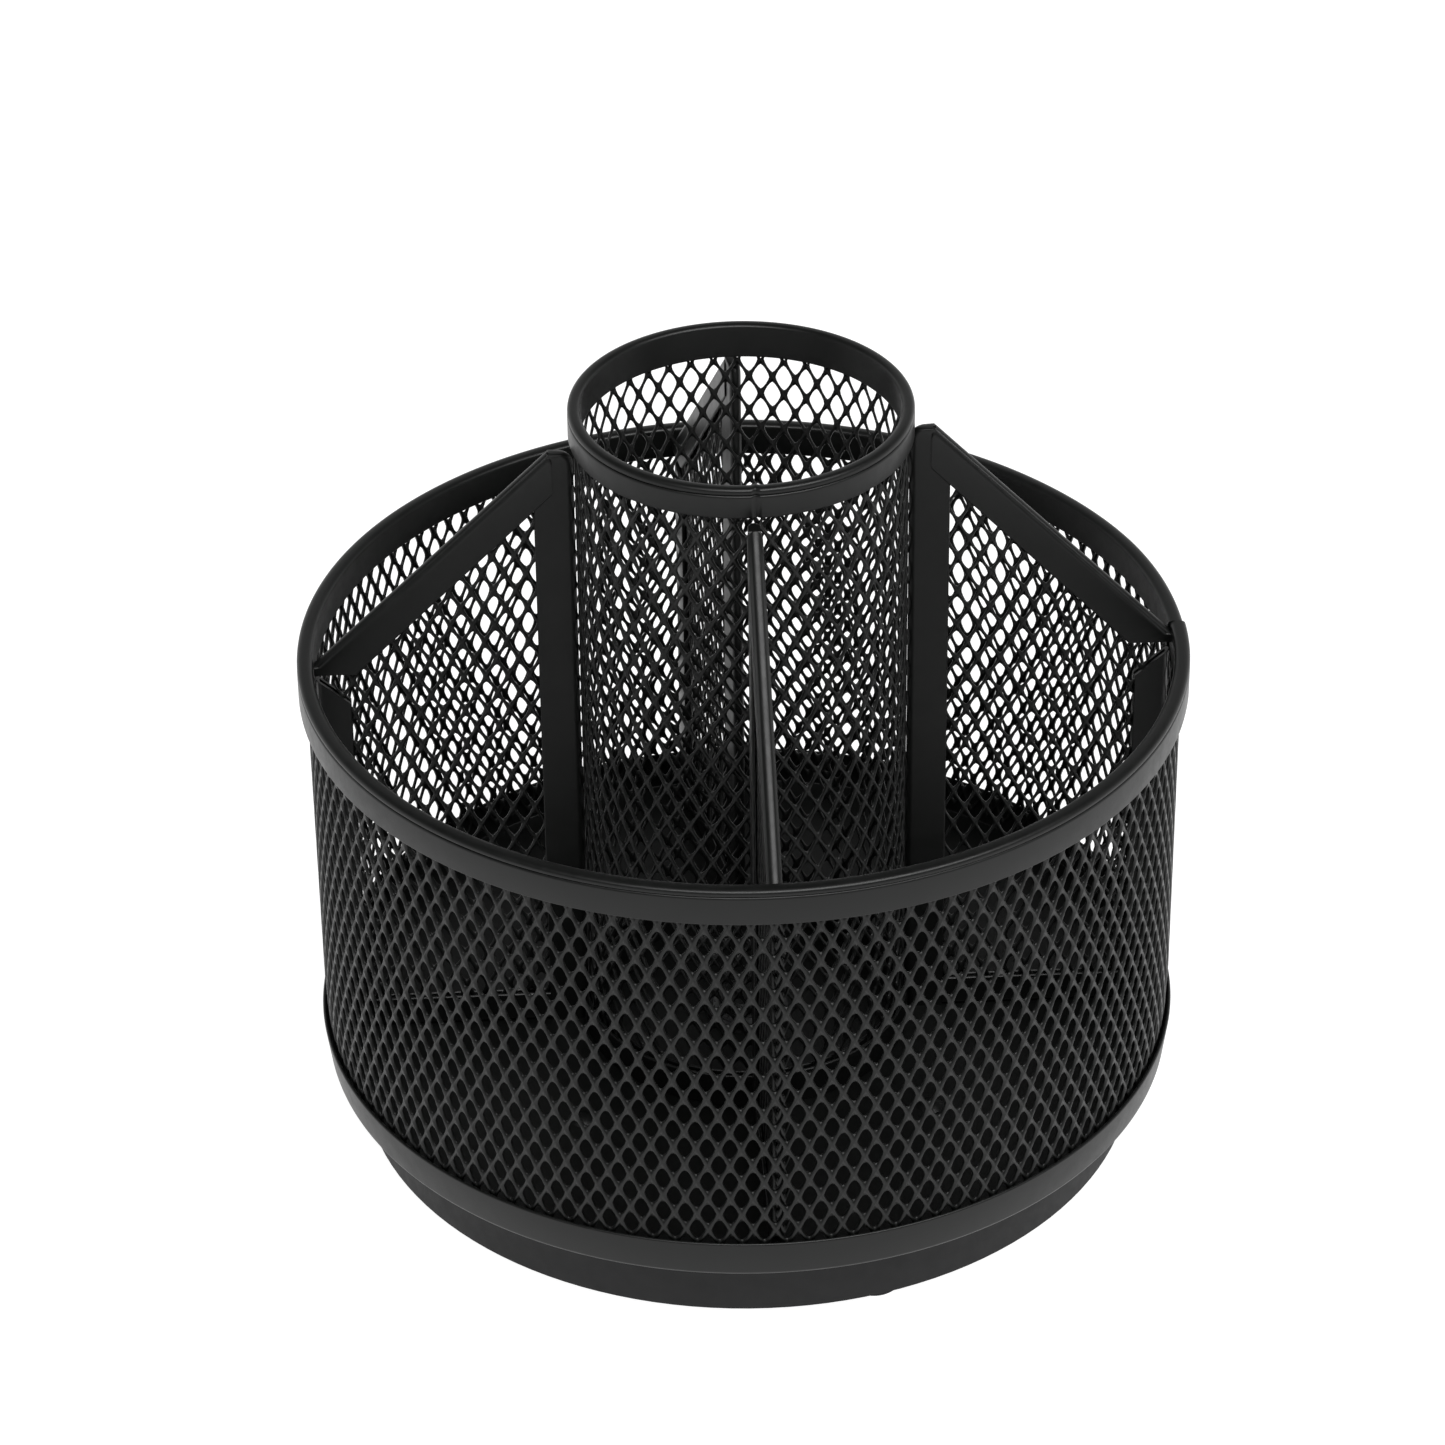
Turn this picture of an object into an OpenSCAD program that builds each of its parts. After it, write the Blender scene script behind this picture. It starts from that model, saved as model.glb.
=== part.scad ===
// Turning desk organizer: a mesh drum with four compartments and a tall mesh cup at its centre, on a low
// plastic base with a ball bearing. Z is up and the origin is on the desk under the spin axis. The four
// dividers lie along +X, +Y, -X and -Y. Expanded mesh is drawn as a plain sheet as thick as its strands.

/* [Drum] */
// Outer radius of the drum's rim
drum_r = 82.5; // [82:0.5:84]
// Height of the drum's rim above the desk
drum_top = 99.2; // [94:0.2:104]
// Height of the folded strip round the drum's top
drum_band_h = 7.1; // [5:0.1:8]
// Thickness of the expanded mesh sheet
mesh_t = 0.8; // [0.6:0.1:0.8]

/* [Cup] */
// Outer radius of the cup's rim
cup_r = 31.3; // [31:0.1:31.5]
// Height of the cup's rim above the desk
cup_top = 149; // [147:1:160]
// Height of the folded strip round the cup's top
cup_band_h = 5.9; // [5:0.1:7]
// Height of the cup rim's inner skin
cup_inner_h = 5.9; // [5:0.1:6.5]
// Height of the folded strip round the cup's foot
cup_foot_h = 6.9; // [5:0.1:8]

/* [Pan] */
// Height of the pan's underside above the desk
pan_z = 13.6; // [13.6:0.1:14]
// Thickness of the pan's sheet steel
pan_t = 0.7; // [0.6:0.1:0.7]
// Outer radius at the top edge of the pan's flange
flange_r = 81.7; // [81.5:0.1:82]
// Height of the flange's top edge above the desk
flange_top = 21.4; // [20:0.1:23]
// How far the flange leans in from its top edge to its foot
flange_lean = 0.85; // [0.5:0.05:1]
// Outer radius of the bend between floor and flange
pan_bend_r = 1; // [0.9:0.1:1.2]

/* [Dividers] */
// Width of the folded strips
strip_w = 6.3; // [5:0.1:7]
// Thickness of the folded strips
strip_t = 2.7; // [2.4:0.1:3]
// Width of the slot in a folded strip, which holds the mesh
slot_w = 1; // [0.9:0.1:1.2]
// Radius of the inner post's inner edge
post_in_r = 30.45; // [30.45:0.05:31]
// Width of the inner post
inner_post_w = 7.45; // [7:0.05:7.5]
// Radius of the outer post's outer edge
post_out_r = 79.2; // [78.5:0.1:79.3]
// Height of the top strip's upper edge at the cup, above the desk
tip_top = 140.1; // [138:0.1:140.5]
// Height of the top strip's upper edge at the drum's rim, above the desk
strip_end_top = 96.8; // [94:0.1:97]

/* [Base] */
// Outer radius of the base's skirt at its foot
base_r = 74.6; // [73:0.1:76]
// Height of the base's deck above the desk
deck_top = 12.4; // [12.2:0.1:12.6]
// Thickness of the base's moulded walls
wall = 2; // [1.6:0.1:2.4]
// Height of the rubber feet below the skirt's edge
foot_h = 0.85; // [0.6:0.05:1.2]
// Radius of a rubber foot
foot_r = 5; // [4:0.1:5]
// Turn of the first rubber foot about the spin axis
foot_angle = 16.5; // [0:0.5:90]

/* [Bearing] */
// Radius of the circle that the balls run on
ball_circle_r = 40; // [39:0.5:41]
// Radius of a ball
ball_r = 2; // [1.8:0.1:2]
// Number of balls
ball_count = 16; // [8:4:24]
// Thickness of each bearing race
race_t = 2; // [2:0.1:2.2]
// Width of the gap between the races
race_gap = 1.6; // [1.4:0.1:1.8]
// Radius of the pivot pin
pin_r = 3; // [2.5:0.1:3.5]
// Radial running clearance between pin and bushing
pin_clearance = 0.05; // [0.02:0.01:0.1]

/* [Hidden] */
$fn = 96;
e = 0.01;

SIDES = ["right", "back", "left", "front"];
DIVIDER_PARTS = ["mesh", "inner_post", "top_strip", "outer_post", "foot_strip"];

// Colours
coat = "#353735";
plastic = "#28292a";
rubber = "#18181a";
steel = "#a9acaf";
nylon = "#1d1d1e";

// Levels
floor_top = pan_z + pan_t;
upper_race_z = pan_z - race_t;
lower_race_top = upper_race_z - race_gap;
well_floor = lower_race_top - race_t;
well_under = well_floor - wall;
ball_z = lower_race_top + race_gap / 2;
mesh_foot = pan_z + 2.6;

// Bearing races
race_in = ball_circle_r - 7;
race_out = ball_circle_r + 11;
fastener_circle_r = ball_circle_r + 6.5;
groove_r = ball_r + 0.2;
screw_r = 1.3;
screw_head_r = 2.6;
screw_head_h = 1.2;
rivet_r = 1.5;
rivet_head_r = 2.6;
rivet_head_h = 0.9;
rivet_tail_r = 2.1;
rivet_tail_h = 0.6;
fit_gap = 0.04;

// Ball cage
cage_half_w = 3.5;
cage_t = 1;

// Base
well_r = race_out + 1;
skirt_draft = 0.2;
deck_edge_r = 1.5;
rib_count = 12;
rib_t = 1.6;
rib_z = 2.6;
screw_boss_r = 3.2;
foot_circle_r = base_r - foot_r - 0.2;
foot_boss_r = foot_r - 0.5;
foot_stem_r = 2.4;
foot_stem_h = 4;
foot_edge = 0.25;

// Pivot
boss_r = 7;
boss_top = well_floor + 0.6;
sleeve_r = 5;
sleeve_z = boss_top + 0.6;
bushing_flange_r = 8;
bushing_flange_t = 1;
washer_gap = 0.15;
washer_t = 0.6;
washer_r = 6.5;
washer_z = floor_top + bushing_flange_t + washer_gap;
pin_head_r = 6;
pin_head_h = 2.4;
pin_top = washer_z + washer_t + 1.5;
cap_r = 5.5;
cap_h = 2.4;

// Folded rims
skin = 0.65;
bead_r = 0.85;
lap_gap = 0.05;
drum_wall_r = drum_r - 1.45;
cup_wall_r = cup_r - 0.9;

// Points on an arc about centre c from angle a0 to a1, in n steps
function arc(c, r, a0, a1, n) =
  [for (i = [0:n]) let (a = a0 + (a1 - a0) * i / n) c + r * [cos(a), sin(a)]];

// A ring between two radii, standing on z
module ring(r_in, r_out, z, h) {
  translate([0, 0, z])
    difference() {
      cylinder(r = r_out, h = h);
      translate([0, 0, -1]) cylinder(r = r_in, h = h + 2);
    }
}

// Copies round the spin axis
module around(count, radius, first = 0) {
  for (i = [0:count - 1])
    rotate([0, 0, first + i * 360 / count]) translate([radius, 0, 0]) children();
}

/* Base */

module base_profile() {
  r_top = base_r - skirt_draft;
  deck_under = deck_top - wall;
  polygon(concat(
    [[pin_r, well_under], [well_r + wall, well_under], [well_r + wall, deck_under]],
    [[r_top - wall, deck_under], [base_r - wall, foot_h], [base_r, foot_h]],
    arc([r_top - deck_edge_r, deck_top - deck_edge_r], deck_edge_r, 0, 90, 6),
    [[well_r, deck_top], [well_r, well_floor], [boss_r, well_floor], [boss_r, boss_top], [pin_r, boss_top]]
  ));
}

module base_rib() {
  wall_middle = well_r + wall / 2;
  skirt_middle = base_r - skirt_draft - wall / 2;
  translate([boss_r, -rib_t / 2, rib_z])
    cube([wall_middle + 0.5 - boss_r, rib_t, well_under + wall / 2 - rib_z]);
  translate([wall_middle, -rib_t / 2, rib_z])
    cube([skirt_middle - wall_middle, rib_t, deck_top - wall / 2 - rib_z]);
}

module base_shell() {
  color(plastic)
    difference() {
      union() {
        rotate_extrude() base_profile();
        around(rib_count, 0, 180 / rib_count) base_rib();
        ring(pin_head_r + 0.4, pin_head_r + 0.4 + wall, rib_z, well_under + wall / 3 - rib_z);
        around(4, fastener_circle_r)
          translate([0, 0, rib_z]) cylinder(r = screw_boss_r, h = well_under + wall / 4 - rib_z);
        around(4, foot_circle_r, foot_angle)
          translate([0, 0, foot_h]) cylinder(r = foot_boss_r, h = deck_top - wall * 0.7 - foot_h);
      }
      around(4, fastener_circle_r) translate([0, 0, rib_z - 1]) cylinder(r = screw_r, h = well_floor);
      around(4, foot_circle_r, foot_angle) cylinder(r = foot_stem_r, h = foot_h + foot_stem_h);
    }
}

module base_feet() {
  color(rubber)
    around(4, foot_circle_r, foot_angle) {
      cylinder(r1 = foot_r - foot_edge, r2 = foot_r, h = foot_edge);
      translate([0, 0, foot_edge]) cylinder(r = foot_r, h = foot_h - foot_edge);
      cylinder(r = foot_stem_r, h = foot_h + foot_stem_h);
    }
}

/* Bearing */

// A flat race with a ball groove in the face that meets the balls
module race(z) {
  difference() {
    ring(race_in, race_out, z, race_t);
    translate([0, 0, ball_z]) rotate_extrude() translate([ball_circle_r, 0]) circle(r = groove_r);
  }
}

module lower_race() {
  color(steel)
    difference() {
      race(well_floor);
      around(4, fastener_circle_r) {
        translate([0, 0, well_floor - 1]) cylinder(r = screw_r, h = race_t + 2);
        translate([0, 0, lower_race_top - screw_head_h])
          cylinder(r1 = screw_r + fit_gap, r2 = screw_head_r + fit_gap, h = screw_head_h + e);
      }
    }
}

module lower_race_screws() {
  color(steel)
    around(4, fastener_circle_r) {
      translate([0, 0, rib_z + 0.4]) cylinder(r = screw_r, h = lower_race_top - screw_head_h - rib_z);
      translate([0, 0, lower_race_top - screw_head_h])
        cylinder(r1 = screw_r, r2 = screw_head_r, h = screw_head_h);
    }
}

module upper_race() {
  color(steel)
    difference() {
      race(upper_race_z);
      around(4, fastener_circle_r, 45) {
        translate([0, 0, upper_race_z - 1]) cylinder(r = rivet_r, h = race_t + 2);
        translate([0, 0, upper_race_z - e])
          cylinder(r1 = rivet_tail_r + fit_gap, r2 = rivet_r + fit_gap, h = rivet_tail_h + e);
      }
    }
}

module upper_race_rivets() {
  dome_r = (pow(rivet_head_r, 2) + pow(rivet_head_h, 2)) / (2 * rivet_head_h);
  color(coat)
    around(4, fastener_circle_r, 45) {
      translate([0, 0, upper_race_z]) cylinder(r1 = rivet_tail_r, r2 = rivet_r, h = rivet_tail_h);
      translate([0, 0, upper_race_z + e]) cylinder(r = rivet_r, h = race_t + pan_t + 0.2);
      intersection() {
        translate([0, 0, floor_top + rivet_head_h - dome_r]) sphere(r = dome_r);
        translate([0, 0, floor_top]) cylinder(r = rivet_head_r + 1, h = rivet_head_h + 1);
      }
    }
}

module ball_cage() {
  color(nylon)
    difference() {
      ring(ball_circle_r - cage_half_w, ball_circle_r + cage_half_w, ball_z - cage_t / 2, cage_t);
      around(ball_count, ball_circle_r)
        translate([0, 0, ball_z - cage_t]) cylinder(r = groove_r, h = 2 * cage_t);
    }
}

module bearing_balls() {
  color(steel) around(ball_count, ball_circle_r) translate([0, 0, ball_z]) sphere(r = ball_r);
}

/* Pivot */

module pivot_pin() {
  color(steel) {
    translate([0, 0, well_under - pin_head_h]) cylinder(r = pin_head_r, h = pin_head_h);
    translate([0, 0, well_under - e]) cylinder(r = pin_r, h = pin_top - well_under);
  }
}

module pivot_bushing() {
  color(nylon)
    difference() {
      union() {
        ring(pin_r, sleeve_r, sleeve_z, floor_top - sleeve_z + e);
        ring(pin_r, bushing_flange_r, floor_top, bushing_flange_t);
      }
      translate([0, 0, sleeve_z - 1]) cylinder(r = pin_r + pin_clearance, h = pin_top);
    }
}

module thrust_washer() {
  color(steel) ring(pin_r, washer_r, washer_z, washer_t);
}

module pin_retainer() {
  color(coat)
    translate([0, 0, washer_z + washer_t])
      difference() {
        union() {
          cylinder(r = cap_r, h = cap_h - 0.8);
          translate([0, 0, cap_h - 0.8]) cylinder(r1 = cap_r, r2 = cap_r - 1.2, h = 0.8);
        }
        translate([0, 0, -1]) cylinder(r = pin_r, h = pin_top - washer_z - washer_t + 1);
      }
}

/* Pan and mesh walls */

module floor_pan() {
  flange_foot_r = flange_r - flange_lean;
  bend = [flange_foot_r - pan_bend_r, pan_z + pan_bend_r];
  edge_r = pan_t / 2;
  color(coat)
    difference() {
      rotate_extrude()
        polygon(concat(
          [[sleeve_r, pan_z]],
          arc(bend, pan_bend_r, -90, 0, 8),
          arc([flange_r - edge_r, flange_top - edge_r], edge_r, 0, 180, 8),
          arc(bend, pan_bend_r - pan_t, 0, -90, 4),
          [[sleeve_r, floor_top]]
        ));
      around(4, fastener_circle_r, 45) translate([0, 0, pan_z - 1]) cylinder(r = rivet_r, h = pan_t + 2);
    }
}

// The wall is pinched in at its foot, where it stands inside the flange
module drum_wall() {
  foot_r = flange_r - flange_lean - pan_t + 0.05;
  outside = [
    [foot_r, mesh_foot], [foot_r + 0.5, flange_top + 0.6], [drum_wall_r - 0.05, flange_top + 9],
    [drum_wall_r, drum_top - 2]
  ];
  inside = [for (i = [3:-1:0]) outside[i] - [mesh_t, 0]];
  color(coat) rotate_extrude() polygon(concat(outside, inside));
}

module cup_wall() {
  color(coat) ring(cup_wall_r - mesh_t, cup_wall_r, floor_top + skin + lap_gap, cup_top - 2 - floor_top - skin);
}

// A strip folded over the top of a mesh wall: two skins, joined by a rolled bead on the outside edge
module folded_rim(r, mesh_r, top, band_h, inner_h) {
  inner_skin_r = mesh_r - mesh_t - lap_gap;
  rotate_extrude() {
    translate([r - skin, top - 1.5 - band_h]) square([skin, band_h]);
    translate([r - skin, top - 2]) square([skin - 0.45, 1]);
    translate([r - bead_r - 0.03, top - bead_r]) circle(r = bead_r);
    translate([inner_skin_r - skin, top - 0.8 - inner_h]) square([skin, inner_h]);
    translate([inner_skin_r - skin / 2, top - 1.4]) square([r - bead_r - inner_skin_r, 0.9]);
  }
}

module drum_rim() {
  color(coat) folded_rim(drum_r, drum_wall_r, drum_top, drum_band_h - 1.5, drum_band_h - 1.3);
}

module cup_rim() {
  color(coat) folded_rim(cup_r, cup_wall_r, cup_top, cup_band_h - 1.5, cup_inner_h);
}

module cup_foot_ring() {
  outside = cup_wall_r + lap_gap + skin;
  inside = cup_wall_r - mesh_t - lap_gap - skin;
  color(coat)
    difference() {
      ring(inside, outside, floor_top, cup_foot_h);
      ring(inside + skin, outside - skin, floor_top + skin, cup_foot_h);
    }
}

/* Dividers, each drawn in the plane of +X and turned to its side */

// The dividers are welded in by hand. In the order of SIDES: how far each one's tip is lifted, how far it
// is turned about the spin axis, and how far it is swung about its inner post
side_lift = [2.8, -0.8, 0, 2.8];
side_turn = [0, 0, 0, 0.9];
side_swing = [0, 11, 0, 0];
end_lift_share = 0.3;

// The top strip's upper edge runs from its tip, over the inner post, down to the rim
tip_r = post_in_r + 3.9;
tip_flat = 0.9;
tip_h = 8.2;
strip_end_r = post_out_r + 0.2;
strip_end_h = 1.9;
end_under_r = post_out_r - 7.6;
post_drop = 0.15;
// The inner post is notched over the cup's foot ring
notch_r = cup_r - 0.1;
notch_top = floor_top + cup_foot_h + 0.2;
post_corner = 2.2;
outer_post_low = strip_end_top - 8.5;
outer_post_high = strip_end_top - 3;
slot_depth = 4.6;

function tip_z(lift) = tip_top + lift;
function end_z(lift) = strip_end_top + end_lift_share * lift;

function top_strip_outline(lift, grow = 0) =
  let (tip = tip_z(lift), end = end_z(lift))
  [
    [tip_r - grow, tip - tip_h - grow], [end_under_r - grow, end - strip_end_h - grow],
    [strip_end_r + grow, end - strip_end_h - grow], [strip_end_r + grow, end],
    [tip_r + tip_flat, tip], [tip_r + 0.4, tip - 0.1], [tip_r + 0.1, tip - 0.4], [tip_r - grow, tip - 0.9]
  ];

function mesh_outline(lift, grow = 0) =
  let (
    left = post_in_r + inner_post_w - slot_depth - grow,
    right = post_out_r - strip_w + slot_depth + grow,
    low = floor_top + strip_w - slot_depth - grow,
    tip_under = tip_z(lift) - tip_h,
    end_under = end_z(lift) - strip_end_h,
    fall = (tip_under - end_under) / (end_under_r - tip_r),
    crown = tip_under + slot_depth + grow
  )
  [[left, low], [right, low], [right, crown - fall * (right - tip_r)], [left, crown - fall * (left - tip_r)]];

function inner_post_outline(lift) =
  let (mouth_r = post_in_r + inner_post_w, top = tip_z(lift) - post_drop)
  concat(
    [[notch_r, floor_top], [mouth_r, floor_top], [mouth_r, top - tip_h + 3], [tip_r + 0.6, top]],
    arc([post_in_r + post_corner, top - post_corner], post_corner, 90, 180, 6),
    [[post_in_r, notch_top], [notch_r, notch_top]]
  );

function outer_post_outline() = [
  [post_out_r - strip_w, floor_top], [post_out_r, floor_top],
  [post_out_r, outer_post_high], [post_out_r - strip_w, outer_post_low]
];

function foot_strip_outline() = [
  [post_in_r + inner_post_w, floor_top], [post_out_r - strip_w, floor_top],
  [post_out_r - strip_w, floor_top + strip_w], [post_in_r + inner_post_w, floor_top + strip_w]
];

// A flat plate with this outline, centred on the divider's plane
module plate(outline, t) {
  rotate([90, 0, 0]) translate([0, 0, -t / 2]) linear_extrude(t) polygon(outline);
}

// Turns a divider's piece to its side and slots it for the mesh
module divider_piece(side, slotted = true) {
  pivot_r = post_in_r + inner_post_w / 2;
  // A swung divider touches the cup with its edge, so it stands further out
  stand_off = strip_t / 2 * sin(abs(side_swing[side]));
  color(coat)
    rotate([0, 0, 90 * side + side_turn[side]])
      translate([pivot_r + stand_off, 0, 0]) rotate([0, 0, side_swing[side]]) translate([-pivot_r, 0, 0])
        difference() {
          children();
          if (slotted) plate(mesh_outline(side_lift[side], 0.1), slot_w);
        }
}

module divider_mesh(side) {
  divider_piece(side, false) plate(mesh_outline(side_lift[side]), mesh_t);
}

module divider_inner_post(side) {
  divider_piece(side)
    difference() {
      plate(inner_post_outline(side_lift[side]), strip_t);
      plate(top_strip_outline(side_lift[side], 0.02), strip_t + 1);
    }
}

module divider_top_strip(side) {
  divider_piece(side) plate(top_strip_outline(side_lift[side]), strip_t);
}

module divider_outer_post(side) {
  divider_piece(side) plate(outer_post_outline(), strip_t);
}

module divider_foot_strip(side) {
  divider_piece(side) plate(foot_strip_outline(), strip_t);
}

base_shell();
base_feet();
lower_race();
lower_race_screws();
pivot_pin();
thrust_washer();
pin_retainer();
ball_cage();
bearing_balls();
floor_pan();
upper_race();
upper_race_rivets();
pivot_bushing();
drum_wall();
drum_rim();
cup_wall();
cup_rim();
cup_foot_ring();
for (i = [0:3]) {
  divider_mesh(i);
  divider_inner_post(i);
  divider_top_strip(i);
  divider_outer_post(i);
  divider_foot_strip(i);
}
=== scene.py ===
# Looks of the turning desk organizer: expanded diamond mesh walls, folded and rolled rims, folded divider
# strips, a pressed pan and a moulded base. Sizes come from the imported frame. Local sizes are millimetres.

import math

import bmesh
import bpy
import numpy as np
from mathutils import Matrix, Vector


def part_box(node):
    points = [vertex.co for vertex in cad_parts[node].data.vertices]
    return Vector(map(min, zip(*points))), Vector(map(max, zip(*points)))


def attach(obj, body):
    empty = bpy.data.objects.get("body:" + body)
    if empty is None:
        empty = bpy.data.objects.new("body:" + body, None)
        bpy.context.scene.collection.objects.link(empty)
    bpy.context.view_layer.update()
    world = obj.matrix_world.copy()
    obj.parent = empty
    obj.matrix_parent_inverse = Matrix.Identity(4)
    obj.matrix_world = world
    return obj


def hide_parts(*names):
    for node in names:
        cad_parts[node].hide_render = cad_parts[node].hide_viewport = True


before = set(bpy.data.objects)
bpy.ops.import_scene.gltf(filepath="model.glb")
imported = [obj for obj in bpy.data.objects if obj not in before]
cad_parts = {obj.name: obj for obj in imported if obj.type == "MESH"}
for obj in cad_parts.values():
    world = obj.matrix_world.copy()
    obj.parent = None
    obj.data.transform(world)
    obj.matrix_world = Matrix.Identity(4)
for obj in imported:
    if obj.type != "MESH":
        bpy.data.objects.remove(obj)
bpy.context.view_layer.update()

MM = 0.001
SIDES = ("right", "back", "left", "front")


# ---------------------------------------------------------------- sizes from the frame

def round_span(node):
    """Outer radius, lowest and highest level of a round node."""
    low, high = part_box(node)
    return high.x / MM, low.z / MM, high.z / MM


def plane_span(node):
    """Inner and outer radius, lowest and highest level of a piece that lies along -X."""
    low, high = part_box(node)
    return -high.x / MM, -low.x / MM, low.z / MM, high.z / MM


drum_r, drum_band_low, drum_top = round_span("drum_rim")
cup_r, cup_band_low, cup_top = round_span("cup_rim")
wall_r, wall_foot, _ = round_span("drum_wall")
cup_wall_r, cup_wall_foot, cup_wall_top = round_span("cup_wall")
pan_r, pan_under, flange_top = round_span("floor_pan")
ring_r, floor_top, ring_top = round_span("cup_foot_ring")

# Thickness of the mesh walls in CAD and of the folded sheet, and the gap between the two
SHEET_T = 0.8
SKIN = 0.65
LAP_GAP = 0.05
PAN_T = floor_top - pan_under


# ---------------------------------------------------------------- camera

# Where the camera aims, how far away it stands, and how it is turned
AIM = Vector((-4.016, 0.175, 80.51)) * MM
DISTANCE = 958.2 * MM
LENS = 127.7
SENSOR = 36.0
AZIMUTH = math.radians(-2.5)
ELEVATION = math.radians(32.91)
ROLL = math.radians(-0.71)


def add_camera():
    back = Vector((
        math.sin(AZIMUTH) * math.cos(ELEVATION),
        -math.cos(AZIMUTH) * math.cos(ELEVATION),
        math.sin(ELEVATION),
    ))
    right = Vector((math.cos(AZIMUTH), math.sin(AZIMUTH), 0))
    up = back.cross(right)
    rolled_right = right * math.cos(ROLL) + up * math.sin(ROLL)
    rolled_up = up * math.cos(ROLL) - right * math.sin(ROLL)
    data = bpy.data.cameras.new("camera")
    data.lens = LENS
    data.sensor_width = SENSOR
    data.sensor_fit = "HORIZONTAL"
    data.clip_start = 0.01
    data.clip_end = 20
    camera = bpy.data.objects.new("camera", data)
    turn = Matrix((rolled_right, rolled_up, back)).transposed()
    camera.matrix_world = Matrix.Translation(AIM + back * DISTANCE) @ turn.to_4x4()
    bpy.context.scene.collection.objects.link(camera)
    bpy.context.scene.camera = camera


# ---------------------------------------------------------------- materials

def new_material(name):
    material = bpy.data.materials.new(name)
    material.use_nodes = True
    nodes = material.node_tree.nodes
    return material, nodes, material.node_tree.links, nodes["Principled BSDF"]


def add_noise(nodes, links, scale, detail, roughness):
    """A noise value fixed to the piece, with its scale in cells per metre."""
    place = nodes.new("ShaderNodeTexCoord")
    noise = nodes.new("ShaderNodeTexNoise")
    noise.inputs["Scale"].default_value = scale
    noise.inputs["Detail"].default_value = detail
    noise.inputs["Roughness"].default_value = roughness
    links.new(place.outputs["Object"], noise.inputs["Vector"])
    return noise.outputs["Fac"]


def vary(nodes, links, value, socket, low, high):
    """Feeds a value, spread between low and high, to a socket."""
    spread = nodes.new("ShaderNodeMapRange")
    spread.inputs["From Min"].default_value = 0.3
    spread.inputs["From Max"].default_value = 0.7
    spread.inputs["To Min"].default_value = low
    spread.inputs["To Max"].default_value = high
    links.new(value, spread.inputs["Value"])
    links.new(spread.outputs["Result"], socket)


def vary_colour(nodes, links, value, socket, low, high):
    ramp = nodes.new("ShaderNodeValToRGB")
    ramp.color_ramp.elements[0].position = 0.3
    ramp.color_ramp.elements[0].color = (*low, 1)
    ramp.color_ramp.elements[1].position = 0.7
    ramp.color_ramp.elements[1].color = (*high, 1)
    links.new(value, ramp.inputs["Fac"])
    links.new(ramp.outputs["Color"], socket)


def add_bump(nodes, links, value, shader, depth):
    """Surface relief of this depth in millimetres."""
    bump = nodes.new("ShaderNodeBump")
    bump.inputs["Strength"].default_value = 1
    bump.inputs["Distance"].default_value = depth * MM
    links.new(value, bump.inputs["Height"])
    links.new(bump.outputs["Normal"], shader.inputs["Normal"])


def make_finish(name, colours, gloss, relief, metallic=0.0, specular=0.5, patch_scale=90):
    """A material from two colours, a roughness range and a relief of (cells per metre, depth)."""
    material, nodes, links, shader = new_material(name)
    patches = add_noise(nodes, links, patch_scale, 4, 0.6)
    vary_colour(nodes, links, patches, shader.inputs["Base Color"], *colours)
    smudges = add_noise(nodes, links, patch_scale * 4, 5, 0.65)
    vary(nodes, links, smudges, shader.inputs["Roughness"], *gloss)
    shader.inputs["Metallic"].default_value = metallic
    shader.inputs["Specular IOR Level"].default_value = specular
    grain = add_noise(nodes, links, relief[0], 3, 0.55)
    add_bump(nodes, links, grain, shader, relief[1])
    return material


coat = make_finish(
    "powder_coat_black",
    colours=((0.0020, 0.0023, 0.0021), (0.0034, 0.0038, 0.0035)),
    gloss=(0.33, 0.43),
    relief=(2600, 0.010),
    specular=0.31,
)
plastic = make_finish(
    "base_plastic_black",
    colours=((0.0085, 0.0085, 0.0090), (0.0115, 0.0115, 0.0120)),
    gloss=(0.50, 0.62),
    relief=(4200, 0.014),
    specular=0.26,
)
rubber = make_finish(
    "foot_rubber",
    colours=((0.010, 0.010, 0.011), (0.016, 0.016, 0.017)),
    gloss=(0.72, 0.88),
    relief=(3200, 0.02),
    specular=0.3,
)
steel = make_finish(
    "zinc_steel",
    colours=((0.42, 0.43, 0.44), (0.58, 0.58, 0.57)),
    gloss=(0.24, 0.38),
    relief=(1800, 0.006),
    metallic=1.0,
    patch_scale=400,
)
nylon = make_finish(
    "black_nylon",
    colours=((0.014, 0.014, 0.015), (0.022, 0.022, 0.023)),
    gloss=(0.42, 0.55),
    relief=(2400, 0.008),
)


# ---------------------------------------------------------------- mesh helpers

def finish_piece(name, bm, nodes, sharp=40):
    """Turns a bmesh in millimetres into a coated piece that stands for these CAD nodes on the carousel."""
    bmesh.ops.scale(bm, vec=(MM, MM, MM), verts=bm.verts)
    bmesh.ops.recalc_face_normals(bm, faces=bm.faces)
    mesh = bpy.data.meshes.new(name)
    bm.to_mesh(mesh)
    bm.free()
    mesh.shade_smooth()
    if sharp:
        mesh.set_sharp_from_angle(angle=math.radians(sharp))
    mesh.materials.append(coat)
    piece = bpy.data.objects.new(name, mesh)
    bpy.context.scene.collection.objects.link(piece)
    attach(piece, "carousel")
    if nodes:
        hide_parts(*nodes)


def arc(centre, radius, start, end, steps):
    """Points on an arc, with angles in degrees."""
    angles = [math.radians(start + (end - start) * i / steps) for i in range(steps + 1)]
    return [(centre[0] + radius * math.cos(a), centre[1] + radius * math.sin(a)) for a in angles]


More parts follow.
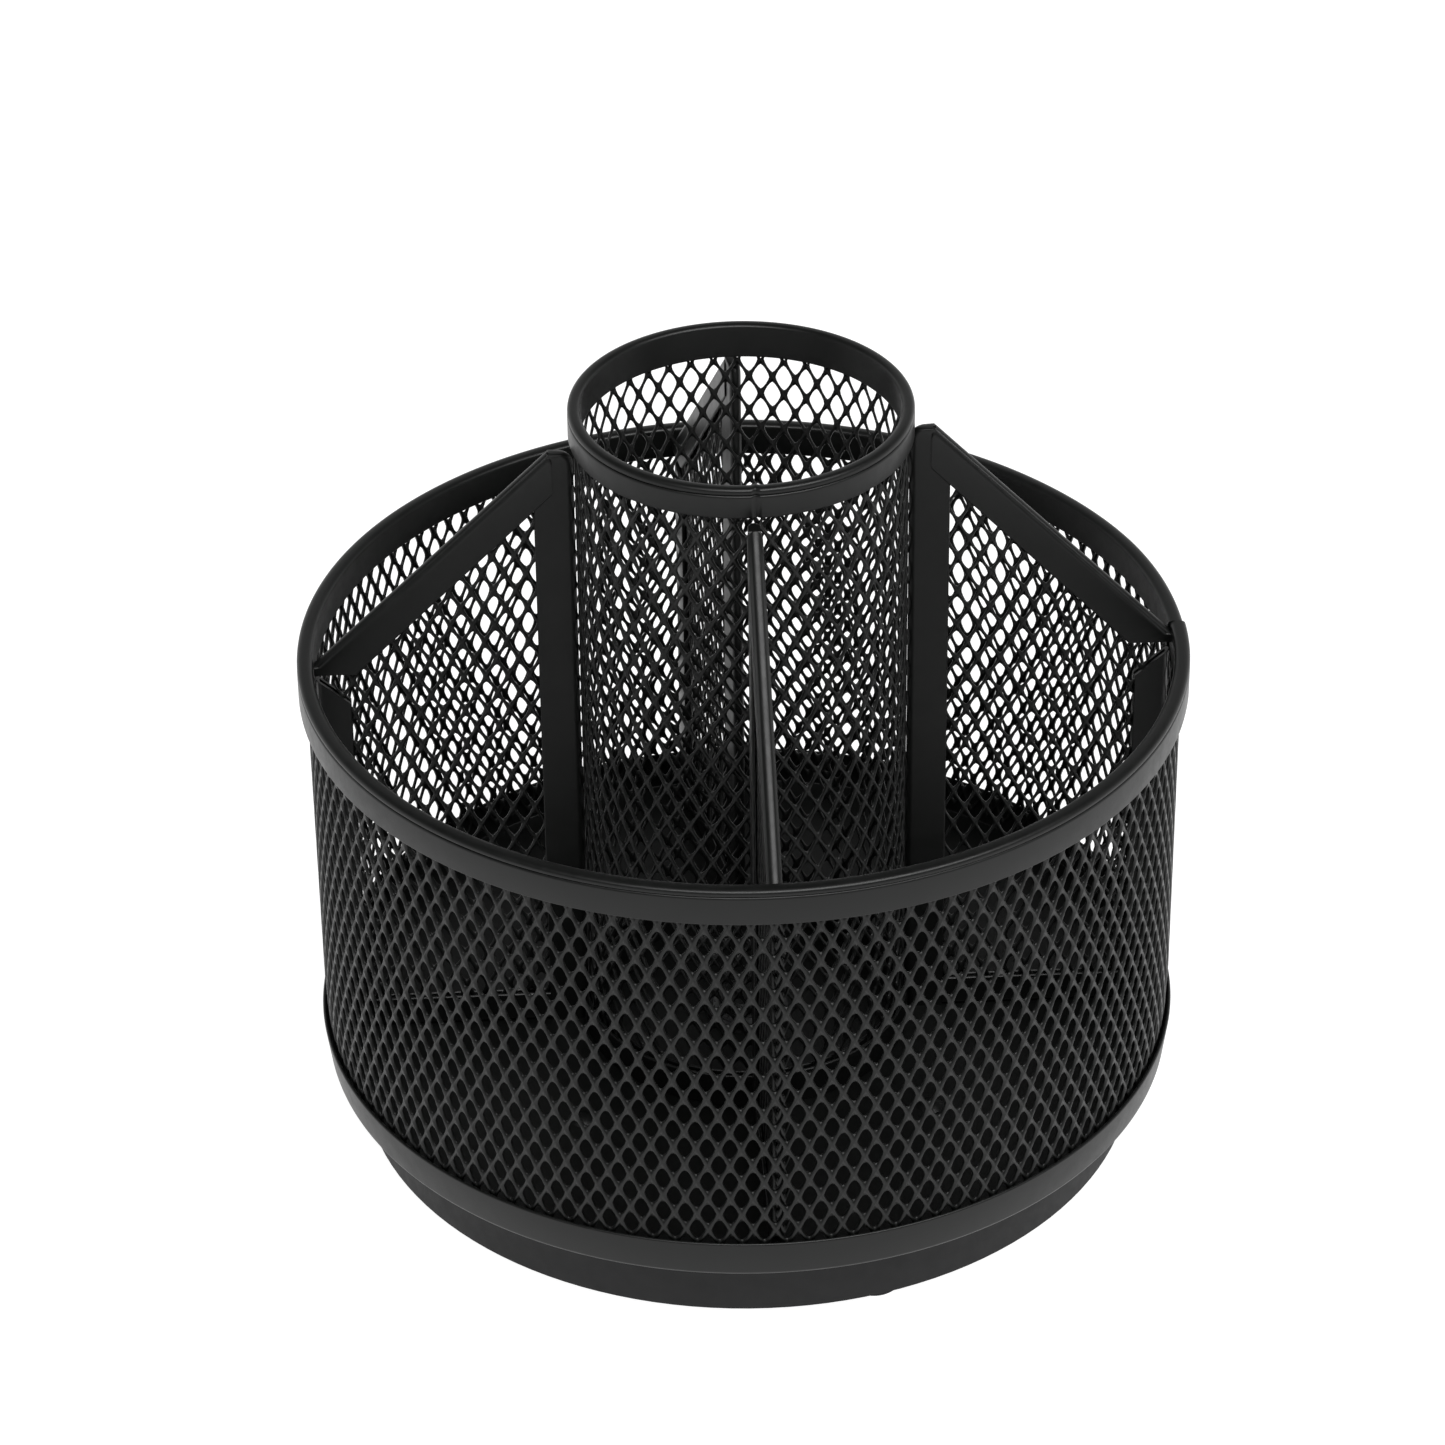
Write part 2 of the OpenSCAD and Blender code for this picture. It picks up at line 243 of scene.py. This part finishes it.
def sweep(rings, closed):
    """A bmesh through rings of points. An open sweep gets a face at each end."""
    bm = bmesh.new()
    loops = [[bm.verts.new(point) for point in ring] for ring in rings]
    count = len(loops)
    for i in range(count if closed else count - 1):
        here, there = loops[i], loops[(i + 1) % count]
        for k in range(len(here)):
            after = (k + 1) % len(here)
            bm.faces.new((here[k], here[after], there[after], there[k]))
    if not closed:
        bm.faces.new(loops[0])
        bm.faces.new(loops[-1])
    return bm


def lathe(profile, steps=288):
    """Turns a closed outline of (radius, level) about the spin axis."""
    rings = []
    for i in range(steps):
        a = 2 * math.pi * i / steps
        rings.append([(r * math.cos(a), r * math.sin(a), z) for r, z in profile])
    return sweep(rings, closed=True)


# ---------------------------------------------------------------- expanded mesh

CELL_POINTS = 16
# How pointed a hole is at its sides, where 1 is round
SIDE_POWER = 1.5
# For each mesh: how pointed its holes are at their ends, how thick its strands are, and how far a strand's
# lower edge stands forward as a share of the strand's height
DRUM_STYLE = (1.2, 0.76, 0.12)
CUP_STYLE = (1.45, 0.6, 0.1)
PANEL_STYLE = (1.4, 0.56, 0.08)


def cell_loops(pitch, height, hole_w, hole_h, style, way=1):
    """One diamond cell: its strand lines and its hole edge, in front and at the back.

    Strands lean like louvres, so a hole's upper edge stands forward and its lower edge stands back.
    """
    end_power, strand_t, lean = style
    edge = strand_t / 4
    corners = [(pitch / 2, 0), (0, height / 2), (-pitch / 2, 0), (0, -height / 2)]
    quarter = CELL_POINTS // 4
    loops = [[], [], [], []]
    for k in range(CELL_POINTS):
        start, end = corners[k // quarter], corners[(k // quarter + 1) % 4]
        share = (k % quarter) / quarter
        line = (start[0] + (end[0] - start[0]) * share, start[1] + (end[1] - start[1]) * share)
        a = 2 * math.pi * k / CELL_POINTS
        across, along = math.cos(a), math.sin(a)
        hole = (
            math.copysign(abs(across) ** end_power, across) * hole_w / 2,
            math.copysign(abs(along) ** SIDE_POWER, along) * hole_h / 2,
        )
        strand_h = height / 2 * (1 - abs(hole[0]) / (pitch / 2)) - abs(hole[1])
        forward = 0 if k % (2 * quarter) == 0 else math.copysign(way * lean * strand_h, along)
        loops[0].append((*line, strand_t / 2))
        loops[1].append((*hole, forward + edge))
        loops[2].append((*hole, forward - edge))
        loops[3].append((*line, -strand_t / 2))
    return np.array([point for loop in loops for point in loop])


def cell_faces():
    faces = []
    for band in range(3):
        for k in range(CELL_POINTS):
            after = (k + 1) % CELL_POINTS
            low, high = band * CELL_POINTS, (band + 1) * CELL_POINTS
            faces.append((low + k, low + after, high + after, high + k))
    return np.array(faces)


def diamond_mesh(cell, centres, place):
    """A bmesh of cells at these centres. place(across, along, depth) gives the points in space."""
    centres = np.array(centres)
    flat = cell[None, :, :] + np.concatenate([centres, np.zeros((len(centres), 1))], axis=1)[:, None, :]
    flat = flat.reshape(-1, 3)
    points = place(flat[:, 0], flat[:, 1], flat[:, 2])
    faces = cell_faces()[None, :, :] + (np.arange(len(centres)) * len(cell))[:, None, None]
    mesh = bpy.data.meshes.new("cells")
    mesh.from_pydata(points.tolist(), [], faces.reshape(-1, 4).tolist())
    bm = bmesh.new()
    bm.from_mesh(mesh)
    bpy.data.meshes.remove(mesh)
    bmesh.ops.remove_doubles(bm, verts=bm.verts, dist=0.002)
    return bm


def tube_cells(columns, rows, pitch, height, first_x, first_z):
    """Centres of staggered cells round a tube."""
    return [
        (first_x + (j + (i % 2) / 2) * pitch, first_z + i * height / 2)
        for i in range(rows) for j in range(columns)
    ]


def on_tube(middle_r, reference_r):
    """Wraps a flat sheet round the spin axis. middle_r(level, angle) is the radius of the sheet's middle."""
    def place(across, along, depth):
        angle = across / reference_r
        radius = middle_r(along, angle) + depth
        return np.stack([radius * np.cos(angle), radius * np.sin(angle), along], axis=1)
    return place


DRUM_COLUMNS = 125
DRUM_ROWS = 21
DRUM_CELL_H = 7.39
DRUM_HOLE = (2.75, 4.75)
# An angle and level at which a hole of the drum's mesh is centred
DRUM_HOLE_AT = (math.radians(-92.2), 79.2)

# How far the wall is pinched in, at these heights above its foot
PINCH = ((0, 5.8, 14.2, 80.8), (0.85, 0.35, 0.05, 0))


# The drum is pressed in a little at its back right: how deep, and over which angles
DENT_DEPTH = 1.15
DENT_AT = 42.0
DENT_HALF_W = 55.0


def smooth_step(value):
    value = np.clip(value, 0.0, 1.0)
    return value * value * (3 - 2 * value)


def dent(angle):
    """How far the drum's top is pressed in at this angle in degrees."""
    away = abs((angle - DENT_AT + 180) % 360 - 180)
    return DENT_DEPTH * smooth_step(1 - away / DENT_HALF_W)


def drum_middle_r(level, angle=math.pi):
    rise = smooth_step((level - flange_top) / (drum_band_low - flange_top))
    pressed = dent(np.degrees(angle)) * rise
    return wall_r - SHEET_T / 2 - np.interp(level - wall_foot, *PINCH) - pressed


def drum_first_cell(lowest):
    """Angle and level of the first cell of a row near this level, in step with DRUM_HOLE_AT."""
    half = DRUM_CELL_H / 2
    steps = round((DRUM_HOLE_AT[1] - lowest) / half)
    level = DRUM_HOLE_AT[1] - steps * half
    angle = DRUM_HOLE_AT[0] + (steps % 2) * math.pi / DRUM_COLUMNS
    return angle, level


def build_drum_mesh():
    pitch = 2 * math.pi * drum_middle_r(drum_top) / DRUM_COLUMNS
    cell = cell_loops(pitch, DRUM_CELL_H, *DRUM_HOLE, DRUM_STYLE)
    angle, level = drum_first_cell(wall_foot + DRUM_CELL_H / 2)
    first_x = angle * drum_middle_r(drum_top)
    centres = tube_cells(DRUM_COLUMNS, DRUM_ROWS, pitch, DRUM_CELL_H, first_x, level)
    bm = diamond_mesh(cell, centres, on_tube(drum_middle_r, drum_middle_r(drum_top)))
    finish_piece("drum_mesh", bm, ["drum_wall"], sharp=0)


# The drum's sheet laps over itself in a narrow strip at the front
SEAM_ANGLE = math.radians(-88.6)
SEAM_INSET = 0.7
SEAM_PITCH = 2.6
SEAM_HOLE = (1.3, 4.6)
SEAM_SHIFT = 0.3


def build_drum_seam():
    reference = drum_middle_r(drum_top)
    cell = cell_loops(SEAM_PITCH, DRUM_CELL_H, *SEAM_HOLE, DRUM_STYLE)
    level = drum_first_cell(wall_foot + DRUM_CELL_H / 2)[1] + SEAM_SHIFT * DRUM_CELL_H
    first_x = SEAM_ANGLE * reference - SEAM_PITCH / 4
    centres = tube_cells(1, DRUM_ROWS - 1, SEAM_PITCH, DRUM_CELL_H, first_x, level)
    bm = diamond_mesh(cell, centres, on_tube(lambda z, a: drum_middle_r(z, a) - SEAM_INSET, reference))
    finish_piece("drum_mesh_lap", bm, [], sharp=0)


CUP_COLUMNS = 43
CUP_CELL_H = 7.25
CUP_HOLE = (3.15, 5.2)
CUP_HOLE_AT = (math.radians(105.2), 137.8)


def build_cup_mesh():
    middle = cup_wall_r - SHEET_T / 2
    pitch = 2 * math.pi * middle / CUP_COLUMNS
    cell = cell_loops(pitch, CUP_CELL_H, *CUP_HOLE, CUP_STYLE)
    half = CUP_CELL_H / 2
    steps = int((CUP_HOLE_AT[1] - half - cup_wall_foot) / half)
    level = CUP_HOLE_AT[1] - steps * half
    rows = int((cup_wall_top - half - level) / half) + 1
    first_x = (CUP_HOLE_AT[0] + (steps % 2) * math.pi / CUP_COLUMNS) * middle
    centres = tube_cells(CUP_COLUMNS, rows, pitch, CUP_CELL_H, first_x, level)
    bm = diamond_mesh(cell, centres, on_tube(lambda z, a: middle, middle))
    finish_piece("cup_mesh", bm, ["cup_wall"], sharp=0)


# ---------------------------------------------------------------- rims

# How far the groove under a rim's roll and the inside of its fold lie below the rim's top
GROOVE_DROP = 1.3
FOLD_DROP = 1.45
GROOVE_DEPTH = 0.62
# Radii of the shoulder under the groove and of the lip over it
SHOULDER_R = 0.55
LIP_R = 0.3
# How far the roll stays inside the strip's radius
ROLL_INSET = 0.02
# How boxy the roll is, where 1 is an ellipse
ROLL_POWER = 0.77


def rim_profile(radius, mesh_outside, outer_low, inner_low, top):
    """Section of a strip folded over a mesh wall, with a roll on its top and a groove under the roll."""
    outer_in = radius - SKIN
    inner_out = mesh_outside - SHEET_T - LAP_GAP
    inner_in = inner_out - SKIN
    edge = SKIN / 2
    half_w = (radius - ROLL_INSET - inner_in) / 2
    middle = inner_in + half_w
    roll_h = GROOVE_DROP - LIP_R - 0.05
    roll = [
        (
            middle + half_w * math.copysign(abs(across) ** ROLL_POWER, across),
            top - roll_h + roll_h * math.copysign(abs(along) ** ROLL_POWER, along),
        )
        for across, along in arc((0, 0), 1, 0, 180, 30)
    ]
    shoulder = top - GROOVE_DROP
    points = arc((outer_in + edge, outer_low + edge), edge, 180, 360, 8)
    points += arc((radius - SHOULDER_R, shoulder - SHOULDER_R), SHOULDER_R, 0, 90, 8)
    points += [(radius - GROOVE_DEPTH, shoulder + 0.02)]
    points += arc((radius - ROLL_INSET - LIP_R, top - roll_h), LIP_R, -90, -10, 6)
    points += roll
    points += arc((inner_in + edge, inner_low + edge), edge, 180, 360, 8)
    points += [(inner_out, top - FOLD_DROP), (outer_in, top - FOLD_DROP)]
    return points


def sweep_rim(profile, start, offset, steps=360):
    """Sweeps a section once round from the start angle. offset(turn) moves it along the radius."""
    rings = []
    for i in range(steps + 1):
        turn = 360 * i / steps
        a = math.radians(start + turn)
        out = offset(turn)
        rings.append([((r + out) * math.cos(a), (r + out) * math.sin(a), z) for r, z in profile])
    return sweep(rings, closed=False)


# The drum's strip ends are lapped: the end that goes back is tucked in and comes out again further on
DRUM_JOINT = 0.4
TUCK_DEPTH = 0.45
TUCK_LENGTH = 25.0


def drum_tuck(turn):
    return -TUCK_DEPTH * (1 - smooth_step(turn / TUCK_LENGTH)) - dent(turn + DRUM_JOINT)


# How far the drum rim's inner skin ends above its outer skin, and the cup rim's below
INNER_OFFSET = 0.5
CUP_INNER_DROP = 0.8


def build_drum_rim():
    profile = rim_profile(drum_r, wall_r, drum_band_low, drum_band_low + INNER_OFFSET, drum_top)
    finish_piece("drum_band", sweep_rim(profile, DRUM_JOINT, drum_tuck), ["drum_rim"])


# The cup's strip ends meet in a butt joint at the front
CUP_JOINT = -88.2
JOINT_DIP = 0.45
JOINT_HALF_W = 1.6


def cup_dip(turn):
    away = min(turn, 360 - turn)
    return -JOINT_DIP * (1 - smooth_step(away / JOINT_HALF_W))


def build_cup_rim():
    profile = rim_profile(cup_r, cup_wall_r, cup_band_low + CUP_INNER_DROP, cup_band_low, cup_top)
    finish_piece("cup_band", sweep_rim(profile, CUP_JOINT, cup_dip, steps=720), ["cup_rim"])


def build_cup_foot():
    """A folded channel that the cup's mesh stands in."""
    inside = cup_wall_r - SHEET_T - LAP_GAP - SKIN
    edge = SKIN / 2
    profile = arc((inside + edge, ring_top - edge), edge, 180, 0, 8)
    profile += [(inside + SKIN, floor_top + SKIN), (ring_r - SKIN, floor_top + SKIN)]
    profile += arc((ring_r - edge, ring_top - edge), edge, 180, 0, 8)
    profile += arc((ring_r - 0.3, floor_top + 0.3), 0.3, 0, -90, 4)
    profile += arc((inside + 0.3, floor_top + 0.3), 0.3, 270, 180, 4)
    finish_piece("cup_foot_band", lathe(profile, 192), ["cup_foot_ring"])


# ---------------------------------------------------------------- pan

FLANGE_LEAN = 0.85
PAN_BEND_R = 1.0
PIVOT_HOLE_R = 5.0
# Width of the ring of the floor beside the bend
FLOOR_EDGE_W = 6


def build_pan():
    """A pressed pan: a flat floor, a tight bend and a flange that leans out to a rounded edge."""
    foot_r = pan_r - FLANGE_LEAN
    bend = (foot_r - PAN_BEND_R, pan_under + PAN_BEND_R)
    edge = PAN_T / 2
    profile = [(PIVOT_HOLE_R, pan_under), (bend[0] - FLOOR_EDGE_W, pan_under)]
    profile += arc(bend, PAN_BEND_R, -90, 0, 10)
    profile += arc((pan_r - edge, flange_top - edge), edge, 0, 180, 10)
    profile += arc(bend, PAN_BEND_R - PAN_T, 0, -90, 5)
    profile += [(bend[0] - FLOOR_EDGE_W, floor_top), (PIVOT_HOLE_R, floor_top)]
    finish_piece("pan_sheet", lathe(profile), ["floor_pan"])


# ---------------------------------------------------------------- dividers

STRIP_W = 6.3
STRIP_T = 2.8
POST_T = 2.2

# The dividers are welded in by hand. In the order of SIDES: how far each one's tip is lifted, how far it is
# turned about the spin axis, and how far it is swung about its inner post
SIDE_LIFT = (2.8, -0.8, 0, 2.8)
SIDE_TURN = (0, 0, 0, 0.9)
SIDE_SWING = (0, 11, 0, 0)
END_LIFT_SHARE = 0.3
# Half a strip's thickness in CAD. A swung divider stands off the cup by this times the sine of its swing
STAND_OFF = 1.35

# The left divider is the plain one: neither lifted, turned nor swung
post_in, post_mouth, post_low, post_top = plane_span("left_divider_inner_post")
top_in, top_out, top_low, tip_top = plane_span("left_divider_top_strip")
outer_mouth, outer_fold, outer_low, outer_high = plane_span("left_divider_outer_post")
foot_in, foot_out, foot_low, foot_high = plane_span("left_divider_foot_strip")
POST_CORNER = 2.2
# The inner post is notched over the cup's foot ring
NOTCH_GAP = 0.1
OUTER_SLANT = 5.5
TIP_H = 8.2
TIP_FLAT = 0.9
# Points of the tip's rounded corner: how far out, how far down, and how far along the strip's lower edge
TIP_CORNER = ((0, 0.9, 0), (0.1, 0.4, 0.02), (0.4, 0.1, 0.04), (TIP_FLAT, 0, 0.07))
TOP_END_BACK = 7.8
TOP_END_H = 1.9


def channel_section(thickness):
    """Section of a folded strip as (depth from its fold, offset across)."""
    half = thickness / 2
    lip = 0.15
    section = [(STRIP_W - lip, half)]
    section += arc((half, 0), half, 90, 270, 14)
    section += [(STRIP_W - lip, -half), (STRIP_W, lip - half), (STRIP_W, SKIN - half - lip)]
    section += [(STRIP_W - lip, SKIN - half), (SKIN, SKIN - half), (SKIN, half - SKIN)]
    section += [(STRIP_W - lip, half - SKIN), (STRIP_W, half - SKIN + lip), (STRIP_W, half - lip)]
    return section


def to_side(side, s, across):
    """Carries a point of the +X plane to this side's divider. Works on numbers and on arrays."""
    pivot = (post_in + post_mouth) / 2
    swing = math.radians(SIDE_SWING[side])
    stand_off = STAND_OFF * math.sin(abs(swing))
    turn = math.radians(90 * side + SIDE_TURN[side])
    x = pivot + stand_off + (s - pivot) * math.cos(swing) - across * math.sin(swing)
    y = (s - pivot) * math.sin(swing) + across * math.cos(swing)
    return x * math.cos(turn) - y * math.sin(turn), x * math.sin(turn) + y * math.cos(turn)


def channel(stations, thickness, side):
    """A folded strip through stations of (fold point, open edge point), carried to its side."""
    section = channel_section(thickness)
    rings = []
    for fold, mouth in stations:
        ring = []
        for depth, across in section:
            share = depth / STRIP_W
            s = fold[0] + (mouth[0] - fold[0]) * share
            z = fold[1] + (mouth[1] - fold[1]) * share
            ring.append((*to_side(side, s, across), z))
        rings.append(ring)
    return sweep(rings, closed=False)


def inner_post_stations(lift):
    top = post_top + lift
    corner = arc((post_in + POST_CORNER, top - POST_CORNER), POST_CORNER, 180, 90, 6)
    corner += [(top_in + 0.6, top)]
    cut_start, cut_end = (post_mouth, top - TIP_H + 3), (top_in + 0.8, top - 0.2)
    notch_r, notch_top = ring_r + NOTCH_GAP, ring_top + 2 * NOTCH_GAP
    stations = [
        ((notch_r, post_low), (post_mouth, post_low)),
        ((notch_r, notch_top), (post_mouth, notch_top)),
        ((post_in, notch_top + 0.02), (post_mouth, notch_top + 0.02)),
    ]
    for i, fold in enumerate(corner):
        share = i / (len(corner) - 1)
        mouth = (
            cut_start[0] + (cut_end[0] - cut_start[0]) * share,
            cut_start[1] + (cut_end[1] - cut_start[1]) * share,
        )
        stations.append((fold, mouth))
    return stations


def top_strip_stations(lift):
    tip = tip_top + lift
    end = top_low + END_LIFT_SHARE * lift
    lower_start = (top_in, tip - TIP_H)
    corner = [
        ((top_in + out, tip - down), (lower_start[0] + slide, lower_start[1] - slide))
        for out, down, slide in TIP_CORNER
    ]
    return corner + [
        ((top_out - 0.05, end + TOP_END_H + 0.05), (top_out - TOP_END_BACK, end)),
        ((top_out, end + TOP_END_H), (top_out, end)),
    ]


def outer_post_stations(_lift):
    return [
        ((outer_fold, outer_low), (outer_mouth, outer_low)),
        ((outer_fold, outer_high), (outer_mouth, outer_high - OUTER_SLANT)),
    ]


def foot_strip_stations(_lift):
    return [
        ((foot_in, foot_low), (foot_in, foot_high)),
        ((foot_out, foot_low), (foot_out, foot_high)),
    ]


PANEL_PITCH = 4.1
PANEL_HOLE = (3.0, 5.1)
# Which way each panel's strands lean
PANEL_WAY = (1, 1, -1, -1)
# How far the cells stay inside the edges of the strips, and below the sloping one
PANEL_MARGIN = 0.9
PANEL_CROWN_DROP = 1.2


def panel_cells(lift):
    """Centres of the cells that fit between the outer edges of the divider's strips."""
    inside, outside = post_in + PANEL_MARGIN, outer_fold - PANEL_MARGIN
    first = post_low + PANEL_MARGIN + DRUM_CELL_H / 2
    tip = tip_top + lift
    end = top_low + TOP_END_H + END_LIFT_SHARE * lift
    fall = (tip - end) / (top_out - top_in - TIP_FLAT)
    half = DRUM_CELL_H / 2
    centres = []
    for i in range(int((tip - first) / half)):
        z = first + i * half
        for j in range(int((outside - inside) / PANEL_PITCH) + 1):
            s = inside + PANEL_PITCH / 2 + (j + (i % 2) / 2) * PANEL_PITCH
            crown = tip - PANEL_CROWN_DROP - fall * max(s - top_in - TIP_FLAT, 0)
            if s + PANEL_PITCH / 2 <= outside and z + half < crown:
                centres.append((s, z))
    return centres


def build_panel(name, side, nodes):
    cell = cell_loops(PANEL_PITCH, DRUM_CELL_H, *PANEL_HOLE, PANEL_STYLE, PANEL_WAY[side])

    def place(across, along, depth):
        return np.stack([*to_side(side, across, depth), along], axis=1)

    finish_piece(name, diamond_mesh(cell, panel_cells(SIDE_LIFT[side]), place), nodes, sharp=0)


STRIPS = (
    ("inner_post", inner_post_stations, POST_T),
    ("top_strip", top_strip_stations, STRIP_T),
    ("outer_post", outer_post_stations, POST_T),
    ("foot_strip", foot_strip_stations, POST_T),
)


def build_dividers():
    for i, side in enumerate(SIDES):
        for part, stations, thickness in STRIPS:
            strip = channel(stations(SIDE_LIFT[i]), thickness, i)
            finish_piece(f"{side}_{part}_fold", strip, [f"{side}_divider_{part}"])
        build_panel(f"{side}_panel", i, [f"{side}_divider_mesh"])


# ---------------------------------------------------------------- carried-over nodes

CARRIED = {
    "base_shell": plastic,
    "base_feet": rubber,
    "lower_race": steel,
    "lower_race_screws": steel,
    "pivot_pin": steel,
    "thrust_washer": steel,
    "pin_retainer": coat,
    "ball_cage": nylon,
    "bearing_balls": steel,
    "upper_race": steel,
    "upper_race_rivets": coat,
    "pivot_bushing": nylon,
}


def dress_carried_nodes():
    for name, material in CARRIED.items():
        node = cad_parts[name]
        if not node.material_slots:
            node.data.materials.append(material)
        for slot in node.material_slots:
            slot.material = material


# ---------------------------------------------------------------- floor and light

FLOOR_HALF_W = 6
FLOOR_GLOW = 0.96


def build_floor():
    bm = bmesh.new()
    bmesh.ops.create_grid(bm, x_segments=1, y_segments=1, size=FLOOR_HALF_W)
    mesh = bpy.data.meshes.new("floor")
    bm.to_mesh(mesh)
    bm.free()
    floor = bpy.data.objects.new("floor", mesh)
    bpy.context.scene.collection.objects.link(floor)
    material, _, _, shader = new_material("white_floor")
    shader.inputs["Base Color"].default_value = (0.25, 0.25, 0.25, 1)
    shader.inputs["Roughness"].default_value = 0.9
    shader.inputs["Specular IOR Level"].default_value = 0.1
    shader.inputs["Emission Color"].default_value = (1, 1, 1, 1)
    shader.inputs["Emission Strength"].default_value = FLOOR_GLOW
    mesh.materials.append(material)


def spread_value(nodes, links, value, source, target):
    """Smoothly carries a value from the source range to the target range."""
    ramp = nodes.new("ShaderNodeMapRange")
    ramp.interpolation_type = "SMOOTHSTEP"
    ramp.inputs["From Min"].default_value = source[0]
    ramp.inputs["From Max"].default_value = source[1]
    ramp.inputs["To Min"].default_value = target[0]
    ramp.inputs["To Max"].default_value = target[1]
    links.new(value, ramp.inputs["Value"])
    return ramp.outputs["Result"]


SKY_FRONT = 0.18
SKY_AROUND = 1.0
SKY_ABOVE = 0.12
# The Y part of a direction over which the screens go from front to around, and the Z part from low to above
SKY_FRONT_TO_AROUND = (-0.9, 0.1)
SKY_LOW_TO_ABOVE = (0.2, 0.6)


def build_world():
    """White screens low down all round, dimmer in front of the drum, and a dim ceiling."""
    world = bpy.data.worlds.new("studio")
    world.use_nodes = True
    nodes, links = world.node_tree.nodes, world.node_tree.links
    background = nodes["Background"]
    place = nodes.new("ShaderNodeTexCoord")
    split = nodes.new("ShaderNodeSeparateXYZ")
    links.new(place.outputs["Generated"], split.inputs["Vector"])
    screens = spread_value(
        nodes, links, split.outputs["Y"], SKY_FRONT_TO_AROUND, (SKY_FRONT, SKY_AROUND)
    )
    height = spread_value(nodes, links, split.outputs["Z"], SKY_LOW_TO_ABOVE, (0, 1))
    blend = nodes.new("ShaderNodeMix")
    links.new(height, blend.inputs["Factor"])
    links.new(screens, blend.inputs["A"])
    blend.inputs["B"].default_value = SKY_ABOVE
    links.new(blend.outputs["Result"], background.inputs["Strength"])
    background.inputs["Color"].default_value = (1, 1, 1, 1)
    bpy.context.scene.world = world


def add_area_light(name, place, aim, size, power):
    data = bpy.data.lights.new(name, "AREA")
    data.shape = "RECTANGLE"
    data.size, data.size_y = size
    data.energy = power
    light = bpy.data.objects.new(name, data)
    light.location = place
    light.rotation_euler = (Vector(aim) - Vector(place)).to_track_quat("-Z", "Y").to_euler()
    bpy.context.scene.collection.objects.link(light)


# Where the softbox stands and how big it is, in metres, and its power in watts
SOFTBOX_AT = (0.25, -0.62, 1.3)
SOFTBOX_SIZE = (1.5, 0.65)
SOFTBOX_POWER = 25


def build_lights():
    middle = (0, 0, cup_top * MM / 2)
    add_area_light("front_softbox", SOFTBOX_AT, middle, SOFTBOX_SIZE, SOFTBOX_POWER)


add_camera()
build_world()
build_floor()
build_lights()
build_drum_mesh()
build_drum_seam()
build_cup_mesh()
build_drum_rim()
build_cup_rim()
build_cup_foot()
build_pan()
build_dividers()
dress_carried_nodes()

bpy.context.scene.view_settings.view_transform = "Standard"
